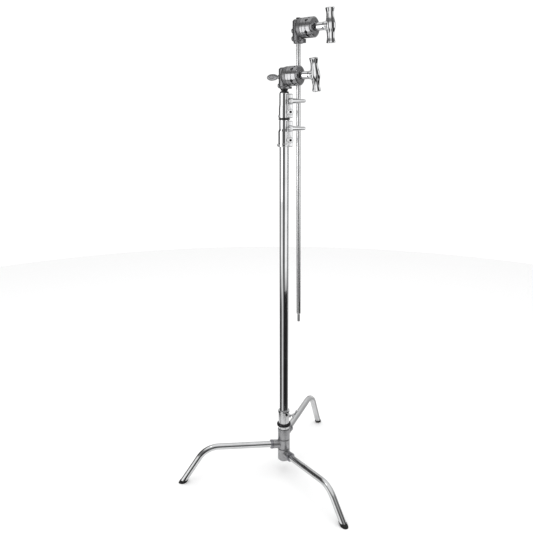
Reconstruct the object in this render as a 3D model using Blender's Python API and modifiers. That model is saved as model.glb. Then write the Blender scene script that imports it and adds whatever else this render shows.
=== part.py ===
"""Century stand with a nested three-leg base, three telescoping sections, two grip heads and an arm.

Built in metres with the column upright along +Z. Every piece is first placed relative to the
column's axis, and the whole stand is then moved so that the floor under the middle of its
footprint is the origin.
"""

import math

import bmesh
import bpy
from mathutils import Matrix, Vector

MM = 0.001
GAP = 0.3 * MM
ROUND = 24

# Base: three bent legs, nested one above the other on the column.
LEG_R = 12.5 * MM
LEG_WALL = 1.8 * MM
LEG_ELBOW_REACH = 330 * MM
LEG_FOOT_REACH = 432.6 * MM
LEG_BEND_R = 90 * MM
LEG_START = 25 * MM
FOOT_HEIGHT = 12 * MM
FOOT_R = 13.9 * MM
HUB_R = 25 * MM
BOSS_R = 18 * MM
BOSS_END = 48 * MM
SOCKET_RING_R = 18.9 * MM
SOCKET_RING_END = 58 * MM

# Name, direction of the leg (from the front towards the right), its upward slope, height of
# its line on the column's axis, bottom of its hub, top of its hub.
LEGS = (
    ("bottom", math.radians(30.8), math.radians(6.4), 72.4 * MM, 42 * MM, 95.6 * MM),
    ("middle", math.radians(-74.6), math.radians(5.5), 113.9 * MM, 96 * MM, 139.6 * MM),
    ("sliding", math.radians(157.0), math.radians(6.4), 155.3 * MM, 140 * MM, 188 * MM),
)

# Column: three tubes, one inside the other, with a lock collar where each one comes out.
COLUMN_R = 17.5 * MM
COLUMN_BORE_R = 15.7 * MM
RISER_2_R = 15 * MM
RISER_2_BORE_R = 13.2 * MM
RISER_3_R = 12.5 * MM
RISER_3_BORE_R = 10.9 * MM
COLUMN_BOTTOM = 46 * MM
COLUMN_TOP = 1402 * MM
RISER_2_BOTTOM = 120 * MM
RISER_2_TOP = 1498 * MM
RISER_3_BOTTOM = 150 * MM
RISER_3_TOP = 1541 * MM

SLEEVE_BOTTOM = 188.4 * MM
SLEEVE_TOP = 272 * MM
SLEEVE_R = 22 * MM
SLIDER_SCREW_HEIGHT = 237 * MM
SLIDER_SCREW_AZIMUTH = math.radians(118)

LOWER_COLLAR = (1348.5 * MM, 1446 * MM)
UPPER_COLLAR = (1452 * MM, 1541 * MM)
SPACER = (1446.3 * MM, 1451.7 * MM)
CAP_BOTTOM = 1541.4 * MM
CAP_TOP = 1554.6 * MM
PIN_R = 7.9 * MM
PIN_BOTTOM = 1470 * MM
PIN_TOP = 1622 * MM

# Each lock's clamp ear, bolt and lever are turned a little to the right of the front.
LOCK_TURN = math.radians(13)
LOCK_PIVOT = (19.5 * MM, -12 * MM, 0)

# Grip heads: x runs from the receiver bore to the T-handle, z is up.
HEAD_TURN = math.radians(-33)
LOWER_HEAD_HEIGHT = 1599 * MM
HEAD_SPACING = 159.5 * MM
RECEIVER_R = 20.6 * MM
LOWER_RECEIVER_BOTTOM = -44 * MM
UPPER_RECEIVER_BOTTOM = -49.5 * MM
RECEIVER_TOP = 30 * MM
RECEIVER_BORE_R = 8.3 * MM
JAW_R = 34.5 * MM
JAW_START = 24 * MM
JAW_MATE = 48 * MM
JAW_END = 70 * MM
BOLT_R = 5.5 * MM
HANDLE_START = 73.2 * MM
HANDLE_CENTRE = 128.5 * MM
HANDLE_HALF = 57 * MM
LOWER_HEAD_SCREWS = (-1.5 * MM, -32 * MM)
UPPER_HEAD_SCREWS = (-6 * MM, -32 * MM)

# The arm stands in the lower head's large groove, a little off upright.
ARM_R = 8 * MM
ARM_BORE_R = 6.4 * MM
ARM_OFFSET = 18.8 * MM
ARM_LEAN = math.radians(0.9)
ARM_BOTTOM = -902 * MM
ARM_TOP = 188.5 * MM
STUD_LENGTH = 36 * MM

# Straight grooves across the jaws: direction, offset from the bolt, half of the diagonal.
GROOVES = (
    ("Z", ARM_OFFSET, 11.5 * MM),
    ("Z", -17 * MM, 9.2 * MM),
    ("Y", 21.5 * MM, 7 * MM),
    ("Y", -18 * MM, 7 * MM),
)


def clear_scene():
    for obj in list(bpy.data.objects):
        bpy.data.objects.remove(obj)


def collection(name, hidden=False):
    made = bpy.data.collections.new(name)
    made.hide_render = hidden
    bpy.context.scene.collection.children.link(made)
    return made


def material(name, colour, metallic, roughness):
    made = bpy.data.materials.new(name)
    made.use_nodes = True
    shader = made.node_tree.nodes["Principled BSDF"]
    shader.inputs["Base Color"].default_value = (*colour, 1)
    shader.inputs["Metallic"].default_value = metallic
    shader.inputs["Roughness"].default_value = roughness
    made.diffuse_color = (*colour, 1)
    return made


clear_scene()
STAND = collection("c_stand")
CUTTERS = collection("cutters", hidden=True)
FINISHES = {
    "chrome": ((0.82, 0.82, 0.83), 1.0, 0.08),
    "casting": ((0.42, 0.42, 0.43), 0.9, 0.42),
    "dark_steel": ((0.1, 0.1, 0.11), 0.8, 0.4),
    "black_plastic": ((0.02, 0.02, 0.02), 0.0, 0.5),
    "rubber": ((0.015, 0.015, 0.015), 0.0, 0.8),
}


def link(name, mesh, matrix, finish):
    """A piece of the stand in its own material, or a hidden helper where there is no finish."""
    obj = bpy.data.objects.new(name, mesh)
    obj.matrix_world = matrix
    if finish is None:
        CUTTERS.objects.link(obj)
        obj.hide_render = True
        obj.display_type = "WIRE"
    else:
        STAND.objects.link(obj)
        colour, metallic, roughness = FINISHES[finish]
        mesh.materials.append(material(name, colour, metallic, roughness))
    return obj


def smooth(mesh, angle=40):
    mesh.shade_smooth()
    mesh.set_sharp_from_angle(angle=math.radians(angle))


def turned(name, profile, matrix=Matrix(), finish=None, closed=False, steps=ROUND):
    """Turn a profile of (radius, height) about Z. It runs top to bottom down its outer side."""
    mesh = bpy.data.meshes.new(name)
    points = [(radius, 0, height) for radius, height in profile]
    edges = [(i, i + 1) for i in range(len(points) - 1)]
    if closed:
        edges.append((len(points) - 1, 0))
    mesh.from_pydata(points, edges, [])
    obj = link(name, mesh, matrix, finish)
    screw = obj.modifiers.new("Turn", "SCREW")
    screw.steps = steps
    screw.render_steps = steps
    screw.use_merge_vertices = True
    screw.merge_threshold = 0.00001
    screw.use_smooth_shade = True
    return obj


def disc(name, radius, low, high, matrix=Matrix(), finish=None, edge=0.0, steps=ROUND):
    """Solid round piece along Z, with both rims chamfered by edge."""
    profile = [(0, high), (radius - edge, high)]
    if edge:
        profile.append((radius, high - edge))
        profile.append((radius, low + edge))
        profile.append((radius - edge, low))
    else:
        profile.append((radius, low))
    profile.append((0, low))
    return turned(name, profile, matrix, finish, steps=steps)


def ring(name, outer, inner, low, high, matrix=Matrix(), finish=None, edge=0.0, steps=ROUND):
    """Pipe along Z with its outer rims chamfered by edge."""
    profile = [(outer - edge, high)]
    if edge:
        profile.append((outer, high - edge))
        profile.append((outer, low + edge))
    profile.append((outer - edge, low))
    profile.append((inner, low))
    profile.append((inner, high))
    return turned(name, profile, matrix, finish, closed=True, steps=steps)


def block(name, low, high, matrix=Matrix(), finish=None):
    bm = bmesh.new()
    bmesh.ops.create_cube(bm, size=1)
    for vert in bm.verts:
        for i in range(3):
            vert.co[i] = high[i] if vert.co[i] > 0 else low[i]
    mesh = bpy.data.meshes.new(name)
    bm.to_mesh(mesh)
    bm.free()
    return link(name, mesh, matrix, finish)


def loft(name, rings, matrix=Matrix(), finish=None, inner=None):
    """Skin over matching rings of points, capped at the ends, or hollow when inner rings are given."""
    bm = bmesh.new()

    def add_skin(levels, flip):
        rows = [[bm.verts.new(point) for point in level] for level in levels]
        for low, high in zip(rows, rows[1:]):
            for i in range(len(low)):
                j = (i + 1) % len(low)
                corners = [low[i], low[j], high[j], high[i]]
                bm.faces.new(corners[::-1] if flip else corners)
        return rows[0], rows[-1]

    first, last = add_skin(rings, False)
    if inner is None:
        bm.faces.new(first[::-1])
        bm.faces.new(last)
    else:
        inner_first, inner_last = add_skin(inner, True)
        for outside, inside in ((first[::-1], inner_first[::-1]), (last, inner_last)):
            for i in range(len(outside)):
                j = (i + 1) % len(outside)
                bm.faces.new([outside[i], outside[j], inside[j], inside[i]])
    bmesh.ops.recalc_face_normals(bm, faces=bm.faces)
    if bm.calc_volume(signed=True) < 0:
        bmesh.ops.reverse_faces(bm, faces=bm.faces)
    mesh = bpy.data.meshes.new(name)
    bm.to_mesh(mesh)
    bm.free()
    smooth(mesh)
    return link(name, mesh, matrix, finish)


def oval(centre, across, along, half_across, half_along, count=16, power=2.0):
    """Ring of points; a power over 2 squares the oval off."""
    points = []
    for i in range(count):
        angle = 2 * math.pi * i / count
        c = math.cos(angle)
        s = math.sin(angle)
        x = math.copysign(abs(c) ** (2 / power), c) * half_across
        y = math.copysign(abs(s) ** (2 / power), s) * half_along
        points.append(centre + across * x + along * y)
    return points


def combine(target, helper, operation, solver):
    modifier = target.modifiers.new(helper.name, "BOOLEAN")
    modifier.solver = solver
    modifier.operation = operation
    modifier.object = helper


def add(target, *helpers, solver="EXACT"):
    for helper in helpers:
        combine(target, helper, "UNION", solver)


def cut(target, *helpers, solver="EXACT"):
    for helper in helpers:
        combine(target, helper, "DIFFERENCE", solver)


def pointing(origin, direction):
    """Frame whose Z runs along direction."""
    turn = Vector(direction).to_track_quat("Z", "Y").to_matrix().to_4x4()
    return Matrix.Translation(Vector(origin)) @ turn


ALONG_X = Matrix.Rotation(math.pi / 2, 4, "Y")
ALONG_MINUS_X = Matrix.Rotation(-math.pi / 2, 4, "Y")


def leg_stations(slope, height):
    """Centre line of a leg as (point, direction), from its socket to where the foot begins."""
    up = Vector((math.cos(slope), 0, math.sin(slope)))
    start = Vector((0, 0, height)) + up * (LEG_START / math.cos(slope))
    elbow = Vector((LEG_ELBOW_REACH, 0, height + LEG_ELBOW_REACH * math.tan(slope)))
    foot = Vector((LEG_FOOT_REACH, 0, 0))
    down = (foot - elbow).normalized()
    turn = up.angle(down)
    tangent = LEG_BEND_R * math.tan(turn / 2)
    bend_start = elbow - up * tangent
    centre = bend_start + Vector((up.z, 0, -up.x)) * LEG_BEND_R
    stations = [(start, up)]
    steps = 8
    for i in range(steps + 1):
        spin = Matrix.Rotation(turn * i / steps, 3, "Y")
        stations.append((centre + spin @ (bend_start - centre), spin @ up))
    return stations, foot, down


def leg_rings(stations, foot, down, radius):
    side = Vector((0, 1, 0))
    rings = []
    for point, direction in stations:
        rings.append(oval(point, side, direction.cross(side), radius, radius))
    end = foot - down * (FOOT_HEIGHT / -down.z)
    rings.append(oval(end, side, Vector((1, 0, 0)), radius, radius / -down.z))
    return rings


def foot_rings(foot, down):
    """Level slices of a slanting round foot, its lower rim rounded over."""
    side = Vector((0, 1, 0))
    ahead = Vector((1, 0, 0))
    levels = (
        (0, 1.5 * MM),
        (1.0 * MM, 0.4 * MM),
        (3 * MM, 0),
        (FOOT_HEIGHT - 1.3 * MM, 0),
        (FOOT_HEIGHT - GAP, 0.8 * MM),
    )
    rings = []
    for height, inset in levels:
        radius = FOOT_R - inset
        centre = foot - down * (height / -down.z)
        rings.append(oval(centre, side, ahead, radius, radius / -down.z))
    return rings


def build_leg(name, azimuth, slope, height, hub_low, hub_high):
    outward = Matrix.Rotation(azimuth - math.pi / 2, 4, "Z")
    stations, foot, down = leg_stations(slope, height)
    outer = leg_rings(stations, foot, down, LEG_R)
    inner = leg_rings(stations, foot, down, LEG_R - LEG_WALL)
    loft(f"{name}_leg_tube", outer, outward, "chrome", inner)
    loft(f"{name}_leg_foot", foot_rings(foot, down), outward, "rubber")

    socket = outward @ pointing((0, 0, height), (math.cos(slope), 0, math.sin(slope)))
    under = 5 * MM if name == "bottom" else 1.2 * MM
    casting = turned(
        f"{name}_leg_casting",
        [
            (0, hub_high),
            (HUB_R - 1.2 * MM, hub_high),
            (HUB_R, hub_high - 1.2 * MM),
            (HUB_R, hub_low + under),
            (HUB_R - under * 0.3, hub_low + under * 0.3),
            (HUB_R - under, hub_low),
            (0, hub_low),
        ],
        outward,
        "casting",
    )
    boss = disc(f"{name}_boss", BOSS_R, 18.2 * MM, BOSS_END, socket, edge=0.8 * MM)
    neighbour = disc(f"{name}_neighbour", HUB_R + GAP, hub_low - 30 * MM, hub_low, outward)
    cut(boss, neighbour, solver="MANIFOLD")
    socket_hole = disc(f"{name}_socket_hole", LEG_R + GAP, LEG_START - GAP, 80 * MM, socket)
    hub_floor = COLUMN_BOTTOM - GAP if name == "bottom" else hub_low - 10 * MM
    hub_hole = disc(f"{name}_hub_hole", COLUMN_R + GAP, hub_floor, hub_high + 10 * MM, outward)
    add(casting, boss, solver="MANIFOLD")
    cut(casting, hub_hole, socket_hole, solver="MANIFOLD")
    ring(
        f"{name}_leg_socket_ring",
        SOCKET_RING_R,
        LEG_R + GAP,
        BOSS_END + GAP,
        SOCKET_RING_END,
        socket,
        "dark_steel",
        1 * MM,
    )


def build_base():
    for leg in LEGS:
        build_leg(*leg)
    disc("base_screw", 9 * MM, 35 * MM, 42 * MM - GAP, finish="dark_steel", edge=1.5 * MM)

    sleeve = turned(
        "slider_sleeve",
        [
            (23.2 * MM, SLEEVE_TOP),
            (23.6 * MM, SLEEVE_TOP - 1 * MM),
            (23.6 * MM, SLEEVE_TOP - 8 * MM),
            (SLEEVE_R, SLEEVE_TOP - 9.5 * MM),
            (SLEEVE_R, SLEEVE_BOTTOM + 0.8 * MM),
            (SLEEVE_R - 0.8 * MM, SLEEVE_BOTTOM),
            (COLUMN_R + GAP, SLEEVE_BOTTOM),
            (COLUMN_R + GAP, SLEEVE_TOP),
        ],
        finish="chrome",
        closed=True,
    )
    turned(
        "slider_flange",
        [
            (SLEEVE_R + GAP, 213 * MM),
            (25.5 * MM, 213 * MM),
            (28 * MM, 211.2 * MM),
            (29 * MM, 207.5 * MM),
            (28.6 * MM, 204 * MM),
            (26.8 * MM, 201.6 * MM),
            (25 * MM, 201 * MM),
            (SLEEVE_R + GAP, 201 * MM),
        ],
        finish="dark_steel",
        closed=True,
    )

    screw_direction = Vector((math.sin(SLIDER_SCREW_AZIMUTH), -math.cos(SLIDER_SCREW_AZIMUTH), 0))
    screw_frame = pointing((0, 0, SLIDER_SCREW_HEIGHT), screw_direction)
    boss = disc("slider_boss", 8 * MM, 19 * MM, 31 * MM, screw_frame, edge=1 * MM, steps=24)
    hole = disc("slider_screw_hole", 4.3 * MM, 10 * MM, 40 * MM, screw_frame, steps=20)
    add(sleeve, boss)
    cut(sleeve, hole)
    wing = disc("slider_wing_screw", 4 * MM, 18.5 * MM, 52 * MM, screw_frame, "chrome", steps=20)
    tilt = Matrix.Rotation(math.radians(-53), 4, "Z")
    bar = loft("slider_wing_bar", wing_rings(54 * MM, 32 * MM), screw_frame @ tilt)
    add(wing, bar)


def wing_rings(height, half_length):
    """T-shaped finger bar lying along local X at this height on the screw."""
    shape = ((-1.0, 3.2), (-0.97, 5.2), (-0.8, 6.4), (-0.3, 5.0), (0.0, 7.0))
    shape = shape + tuple((-place, half) for place, half in shape[-2::-1])
    rings = []
    for place, half in shape:
        centre = Vector((place * half_length, 0, height))
        rings.append(oval(centre, Vector((0, 1, 0)), Vector((0, 0, 1)), half * MM, half * 0.85 * MM, 12))
    return rings


def build_lock(name, collar, low, high, bore, lever_height, bolt_height):
    """Clamp ear, fixed bolt and lever on a collar; bore is its step height and its two radii."""
    lock = Matrix.Translation(LOCK_PIVOT) @ Matrix.Rotation(LOCK_TURN, 4, "Z")
    ear = block(
        f"{name}_ear",
        (-10.5 * MM, -10 * MM, low + 0.6 * MM),
        (9.5 * MM, 7 * MM, high - 3.5 * MM),
        lock,
    )
    edge = ear.modifiers.new("Edge", "BEVEL")
    edge.width = 2.4 * MM
    edge.segments = 2
    bolt_frame = lock @ pointing((0.5 * MM, 0, bolt_height), (0, -1, 0))
    lever_frame = lock @ pointing((0, 0, lever_height), (0, -1, 0))
    boss = disc(f"{name}_bolt_boss", 11 * MM, -2 * MM, 14 * MM, bolt_frame, edge=1.5 * MM)
    recess = disc(f"{name}_bolt_recess", 4.8 * MM, 11 * MM, 28 * MM, bolt_frame, steps=20)
    lever_hole = disc(f"{name}_lever_hole", 5.3 * MM, 5 * MM, 28 * MM, lever_frame, steps=20)
    add(collar, ear, boss, solver="MANIFOLD")
    step, lower_r, upper_r = bore
    tube_bore = turned(
        f"{name}_collar_bore",
        [
            (0, high + 5 * MM),
            (upper_r + GAP, high + 5 * MM),
            (upper_r + GAP, step + GAP),
            (lower_r + GAP, step + GAP),
            (lower_r + GAP, low - 5 * MM),
            (0, low - 5 * MM),
        ],
    )
    cut(collar, tube_bore, recess, lever_hole, solver="MANIFOLD")
    disc(
        f"{name}_clamp_bolt",
        4.5 * MM,
        11 * MM + GAP,
        15 * MM,
        bolt_frame,
        "dark_steel",
        0.6 * MM,
        20,
    )

    lever = disc(
        f"{name}_lock_lever",
        5 * MM,
        5 * MM + GAP,
        18 * MM,
        lever_frame,
        "chrome",
        steps=20,
    )
    # Distance along the lever, and half its height there.
    outline = (
        (-9, 3),
        (-8, 6.5),
        (-5, 8.8),
        (0, 9.6),
        (6, 9.4),
        (18, 8.4),
        (34, 7.2),
        (48, 6.4),
        (52, 5.4),
        (53.5, 3),
    )
    rings = []
    for place, half in outline:
        centre = Vector((place * MM, -23 * MM, lever_height))
        depth = (2.2 + half * 0.4) * MM
        rings.append(oval(centre, Vector((0, 0, 1)), Vector((0, -1, 0)), half * MM, depth, 16, 2.6))
    add(lever, loft(f"{name}_lever_bar", rings, lock))
    ring(
        f"{name}_lock_nut",
        8.6 * MM,
        6.2 * MM,
        10 * MM + GAP,
        14.5 * MM,
        lever_frame,
        "dark_steel",
        0.8 * MM,
        6,
    )


def build_column():
    ring("column_tube", COLUMN_R, COLUMN_BORE_R, COLUMN_BOTTOM, COLUMN_TOP, finish="chrome")
    ring("riser_2_tube", RISER_2_R, RISER_2_BORE_R, RISER_2_BOTTOM, RISER_2_TOP, finish="chrome")
    ring("riser_3_tube", RISER_3_R, RISER_3_BORE_R, RISER_3_BOTTOM, RISER_3_TOP, finish="chrome")

    low, high = LOWER_COLLAR
    lower = turned(
        "lower_collar",
        [
            (0, high),
            (18 * MM, high),
            (18.6 * MM, high - 0.8 * MM),
            (18.6 * MM, 1412 * MM),
            (22 * MM, 1404 * MM),
            (22 * MM, low + 11 * MM),
            (23.2 * MM, low + 9.5 * MM),
            (23.2 * MM, low + 1 * MM),
            (22.2 * MM, low),
            (0, low),
        ],
        finish="chrome",
    )
    pad_frame = Matrix.Translation((0, 0, low + 6.2 * MM)) @ ALONG_MINUS_X
    add(lower, disc("lower_pad", 5 * MM, 19 * MM, 27 * MM, pad_frame, edge=1 * MM), solver="MANIFOLD")
    bore = (COLUMN_TOP, COLUMN_R, RISER_2_R)
    build_lock("lower", lower, low, high, bore, 1415.5 * MM, 1373 * MM)

    low, high = UPPER_COLLAR
    upper = turned(
        "upper_collar",
        [
            (0, high),
            (17.4 * MM, high),
            (18.2 * MM, high - 1 * MM),
            (18.4 * MM, 1500 * MM),
            (19.6 * MM, 1488 * MM),
            (19.6 * MM, low + 1 * MM),
            (18.8 * MM, low),
            (0, low),
        ],
        finish="chrome",
    )
    pad_frame = Matrix.Translation((0, 0, low + 7 * MM)) @ ALONG_MINUS_X
    add(upper, disc("upper_pad", 5 * MM, 16 * MM, 22.4 * MM, pad_frame, edge=1 * MM), solver="MANIFOLD")
    bore = (RISER_2_TOP, RISER_2_R, RISER_3_R)
    build_lock("upper", upper, low, high, bore, 1512 * MM, 1473.5 * MM)

    ring(
        "collar_spacer",
        21.3 * MM,
        RISER_2_R + GAP,
        *SPACER,
        finish="black_plastic",
        edge=0.8 * MM,
    )
    turned(
        "riser_3_cap",
        [
            (12.4 * MM, CAP_TOP),
            (13.2 * MM, CAP_TOP - 0.8 * MM),
            (13.2 * MM, CAP_TOP - 4.2 * MM),
            (11 * MM, CAP_TOP - 5.2 * MM),
            (11 * MM, CAP_TOP - 7.2 * MM),
            (15.6 * MM, CAP_TOP - 9 * MM),
            (16.4 * MM, CAP_BOTTOM + 1 * MM),
            (15.6 * MM, CAP_BOTTOM),
            (PIN_R + GAP, CAP_BOTTOM),
            (PIN_R + GAP, CAP_TOP),
        ],
        finish="black_plastic",
        closed=True,
    )
    disc("baby_pin", PIN_R, PIN_BOTTOM, PIN_TOP, finish="chrome", edge=1.2 * MM, steps=24)


def build_receiver(prefix, frame, bottom, screws):
    receiver = turned(
        f"{prefix}_receiver",
        [
            (0, RECEIVER_TOP),
            (13 * MM, RECEIVER_TOP),
            (17.6 * MM, RECEIVER_TOP - 1.6 * MM),
            (19.8 * MM, RECEIVER_TOP - 4.6 * MM),
            (RECEIVER_R, RECEIVER_TOP - 8 * MM),
            (RECEIVER_R, bottom + 9 * MM),
            (17 * MM, bottom + 5 * MM),
            (17 * MM, bottom + 1 * MM),
            (16 * MM, bottom),
            (0, bottom),
        ],
        frame,
        "casting",
    )
    drum = disc(
        f"{prefix}_drum",
        JAW_R - 0.4 * MM,
        3 * MM,
        JAW_START - GAP,
        frame @ ALONG_X,
        edge=1.4 * MM,
    )
    tab = block(
        f"{prefix}_tab",
        (6 * MM, -9 * MM, bottom + 0.3 * MM),
        (27 * MM, 9 * MM, -JAW_R - 1 * MM),
        frame,
    )
    add(receiver, drum, tab, solver="MANIFOLD")
    for i, height in enumerate(screws):
        screw_frame = frame @ Matrix.Translation((0, 0, height)) @ ALONG_MINUS_X
        boss = disc(
            f"{prefix}_screw_boss_{i}",
            8.5 * MM,
            10 * MM,
            25 * MM,
            screw_frame,
            edge=1 * MM,
        )
        hole = disc(f"{prefix}_screw_hole_{i}", 4.3 * MM, 4 * MM, 30 * MM, screw_frame, steps=20)
        add(receiver, boss, solver="MANIFOLD")
        cut(receiver, hole, solver="MANIFOLD")
    bore = disc(
        f"{prefix}_bore",
        RECEIVER_BORE_R,
        bottom - 5 * MM,
        RECEIVER_TOP + 5 * MM,
        frame,
    )
    bolt_hole = disc(f"{prefix}_bolt_hole", BOLT_R + GAP, 13 * MM, 40 * MM, frame @ ALONG_X)
    cut(receiver, bore, bolt_hole, solver="MANIFOLD")


def build_jaws(prefix, frame):
    along = frame @ ALONG_X
    inner = turned(
        f"{prefix}_inner_jaw",
        [
            (BOLT_R + GAP, JAW_MATE - GAP),
            (JAW_R - 0.5 * MM, JAW_MATE - GAP),
            (JAW_R, JAW_MATE - GAP - 0.5 * MM),
            (JAW_R, JAW_START + 1.2 * MM),
            (JAW_R - 1.2 * MM, JAW_START),
            (BOLT_R + GAP, JAW_START),
        ],
        along,
        "casting",
        closed=True,
        steps=32,
    )
    outer = turned(
        f"{prefix}_outer_jaw",
        [
            (BOLT_R + GAP, JAW_END - 3 * MM),
            (16 * MM, JAW_END - 3 * MM),
            (17 * MM, JAW_END),
            (JAW_R - 5.5 * MM, JAW_END),
            (JAW_R - 1.6 * MM, JAW_END - 1.8 * MM),
            (JAW_R, JAW_END - 5.5 * MM),
            (JAW_R, JAW_MATE + GAP + 0.5 * MM),
            (JAW_R - 0.5 * MM, JAW_MATE + GAP),
            (BOLT_R + GAP, JAW_MATE + GAP),
        ],
        along,
        "casting",
        closed=True,
        steps=32,
    )
    for i, (direction, offset, half) in enumerate(GROOVES):
        place = (JAW_MATE, offset, 0) if direction == "Z" else (JAW_MATE, 0, offset)
        tip = Matrix.Translation(place) @ Matrix.Rotation(math.pi / 4, 4, direction)
        flat = half / math.sqrt(2)
        long = 60 * MM
        size = (flat, flat, long) if direction == "Z" else (flat, long, flat)
        groove = block(f"{prefix}_groove_{i}", tuple(-s for s in size), size, frame @ tip)
        cut(inner, groove)
        cut(outer, groove)


def handle_rings():
    """Four-ridged bar along Z: thick in the middle, waisted, and flared at both ends."""
    shape = (
        (-1.0, 16.0),
        (-0.97, 17.0),
        (-0.84, 15.8),
        (-0.66, 14.0),
        (-0.4, 15.2),
        (-0.18, 18.4),
        (0.0, 19.5),
    )
    shape = shape + tuple((-place, half) for place, half in shape[-2::-1])
    rings = []
    for place, half in shape:
        points = []
        for i in range(24):
            angle = 2 * math.pi * i / 24
            radius = half * MM * (1 - 0.25 * math.sin(2 * angle) ** 2)
            x = HANDLE_CENTRE + radius * math.cos(angle)
            points.append(Vector((x, radius * math.sin(angle), place * HANDLE_HALF)))
        rings.append(points)
    return rings


def build_handle(prefix, frame, turn):
    along = frame @ ALONG_X
    disc(f"{prefix}_bolt", BOLT_R, 13 * MM + GAP, 103 * MM, along, "chrome", 0.8 * MM)
    seat = JAW_END - 3 * MM
    ring(
        f"{prefix}_washer",
        15 * MM,
        BOLT_R + GAP,
        seat + GAP,
        seat + 2.7 * MM,
        along,
        "dark_steel",
        0.5 * MM,
    )
    ring(
        f"{prefix}_bearing",
        13.5 * MM,
        BOLT_R + GAP,
        seat + 3 * MM,
        HANDLE_START - GAP,
        along,
        "black_plastic",
        0.8 * MM,
    )
    turned_frame = frame @ Matrix.Rotation(turn, 4, "X")
    handle = loft(f"{prefix}_t_handle", handle_rings(), turned_frame, "chrome")
    barrel = turned(
        f"{prefix}_barrel",
        [
            (0, HANDLE_CENTRE),
            (15 * MM, HANDLE_CENTRE),
            (15 * MM, 110 * MM),
            (13.6 * MM, 104 * MM),
            (13.6 * MM, HANDLE_START + 1.2 * MM),
            (12.4 * MM, HANDLE_START),
            (0, HANDLE_START),
        ],
        turned_frame @ ALONG_X,
    )
    bore = disc(
        f"{prefix}_barrel_bore",
        BOLT_R + GAP,
        60 * MM,
        104 * MM,
        turned_frame @ ALONG_X,
    )
    add(handle, barrel)
    cut(handle, bore)


def build_head(prefix, body_frame, jaw_frame, bottom, screws, handle_turn):
    build_receiver(prefix, body_frame, bottom, screws)
    build_jaws(prefix, jaw_frame)
    build_handle(prefix, body_frame, handle_turn)


def build_set_screw(name, frame, height, tip_gap):
    screw_frame = frame @ Matrix.Translation((0, 0, height)) @ ALONG_MINUS_X
    disc(name, 4 * MM, tip_gap, 27.4 * MM, screw_frame, "chrome", 0.5 * MM, 20)


def build_wing_screw(name, frame, height):
    screw_frame = frame @ Matrix.Translation((0, 0, height)) @ ALONG_MINUS_X
    screw = disc(name, 4 * MM, PIN_R + 0.8 * MM, 36 * MM, screw_frame, "chrome", steps=20)
    # Distance from the bore, and half the paddle's height there.
    outline = ((30, 5), (33, 7.5), (41, 10.4), (51, 11.6), (61, 11), (69, 8.6), (73.5, 5.4), (75, 3))
    rings = []
    for place, half in outline:
        centre = Vector((-place * MM, 0, height))
        rings.append(oval(centre, Vector((0, 1, 0)), Vector((0, 0, 1)), 3.6 * MM, half * MM, 16))
    paddle = loft(f"{name}_paddle", rings, frame)
    add(screw, paddle)


def build_heads_and_arm():
    lower = Matrix.Translation((0, 0, LOWER_HEAD_HEIGHT)) @ Matrix.Rotation(HEAD_TURN, 4, "Z")
    leaned = lower @ Matrix.Rotation(ARM_LEAN, 4, "X")
    upper = leaned @ Matrix.Translation((JAW_MATE, ARM_OFFSET, HEAD_SPACING))
    build_head(
        "lower_head",
        lower,
        leaned,
        LOWER_RECEIVER_BOTTOM,
        LOWER_HEAD_SCREWS,
        math.radians(13),
    )
    build_wing_screw("lower_head_wing_screw", lower, LOWER_HEAD_SCREWS[0])
    build_set_screw("lower_head_set_screw", lower, LOWER_HEAD_SCREWS[1], PIN_R + 0.8 * MM)
    build_head(
        "upper_head",
        upper,
        upper,
        UPPER_RECEIVER_BOTTOM,
        UPPER_HEAD_SCREWS,
        math.radians(5),
    )
    for i, height in enumerate(UPPER_HEAD_SCREWS, 1):
        build_set_screw(f"upper_head_set_screw_{i}", upper, height, ARM_R + 0.8 * MM)

    arm = leaned @ Matrix.Translation((JAW_MATE, ARM_OFFSET, 0))
    ring("arm_rod", ARM_R, ARM_BORE_R, ARM_BOTTOM, ARM_TOP, arm, "chrome", 0.4 * MM, 24)
    disc("arm_top_cap", ARM_R, ARM_TOP + GAP, ARM_TOP + 7 * MM, arm, "black_plastic", 1.6 * MM, 24)
    turned(
        "arm_stud",
        [
            (0, ARM_BOTTOM - GAP),
            (7.4 * MM, ARM_BOTTOM - GAP),
            (7.4 * MM, ARM_BOTTOM - 2.5 * MM),
            (4.9 * MM, ARM_BOTTOM - 5 * MM),
            (4.9 * MM, ARM_BOTTOM - STUD_LENGTH + 1 * MM),
            (3.9 * MM, ARM_BOTTOM - STUD_LENGTH),
            (0, ARM_BOTTOM - STUD_LENGTH),
        ],
        arm,
        "chrome",
        steps=24,
    )


def centre_footprint():
    """Move everything sideways so that the middle of the footprint is the origin."""
    bpy.context.view_layer.update()
    graph = bpy.context.evaluated_depsgraph_get()
    corners = []
    for obj in STAND.objects:
        evaluated = obj.evaluated_get(graph)
        mesh = evaluated.to_mesh()
        corners += [evaluated.matrix_world @ vert.co for vert in mesh.vertices]
        evaluated.to_mesh_clear()
    middle = [(min(c[i] for c in corners) + max(c[i] for c in corners)) / 2 for i in range(2)]
    shift = Matrix.Translation((-middle[0], -middle[1], 0))
    for obj in list(STAND.objects) + list(CUTTERS.objects):
        obj.matrix_world = shift @ obj.matrix_world


build_base()
build_column()
build_heads_and_arm()
centre_footprint()
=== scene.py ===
"""Looks of the century stand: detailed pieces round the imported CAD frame, light and camera."""

import math

import bmesh
import bpy
from mathutils import Matrix, Vector


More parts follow.
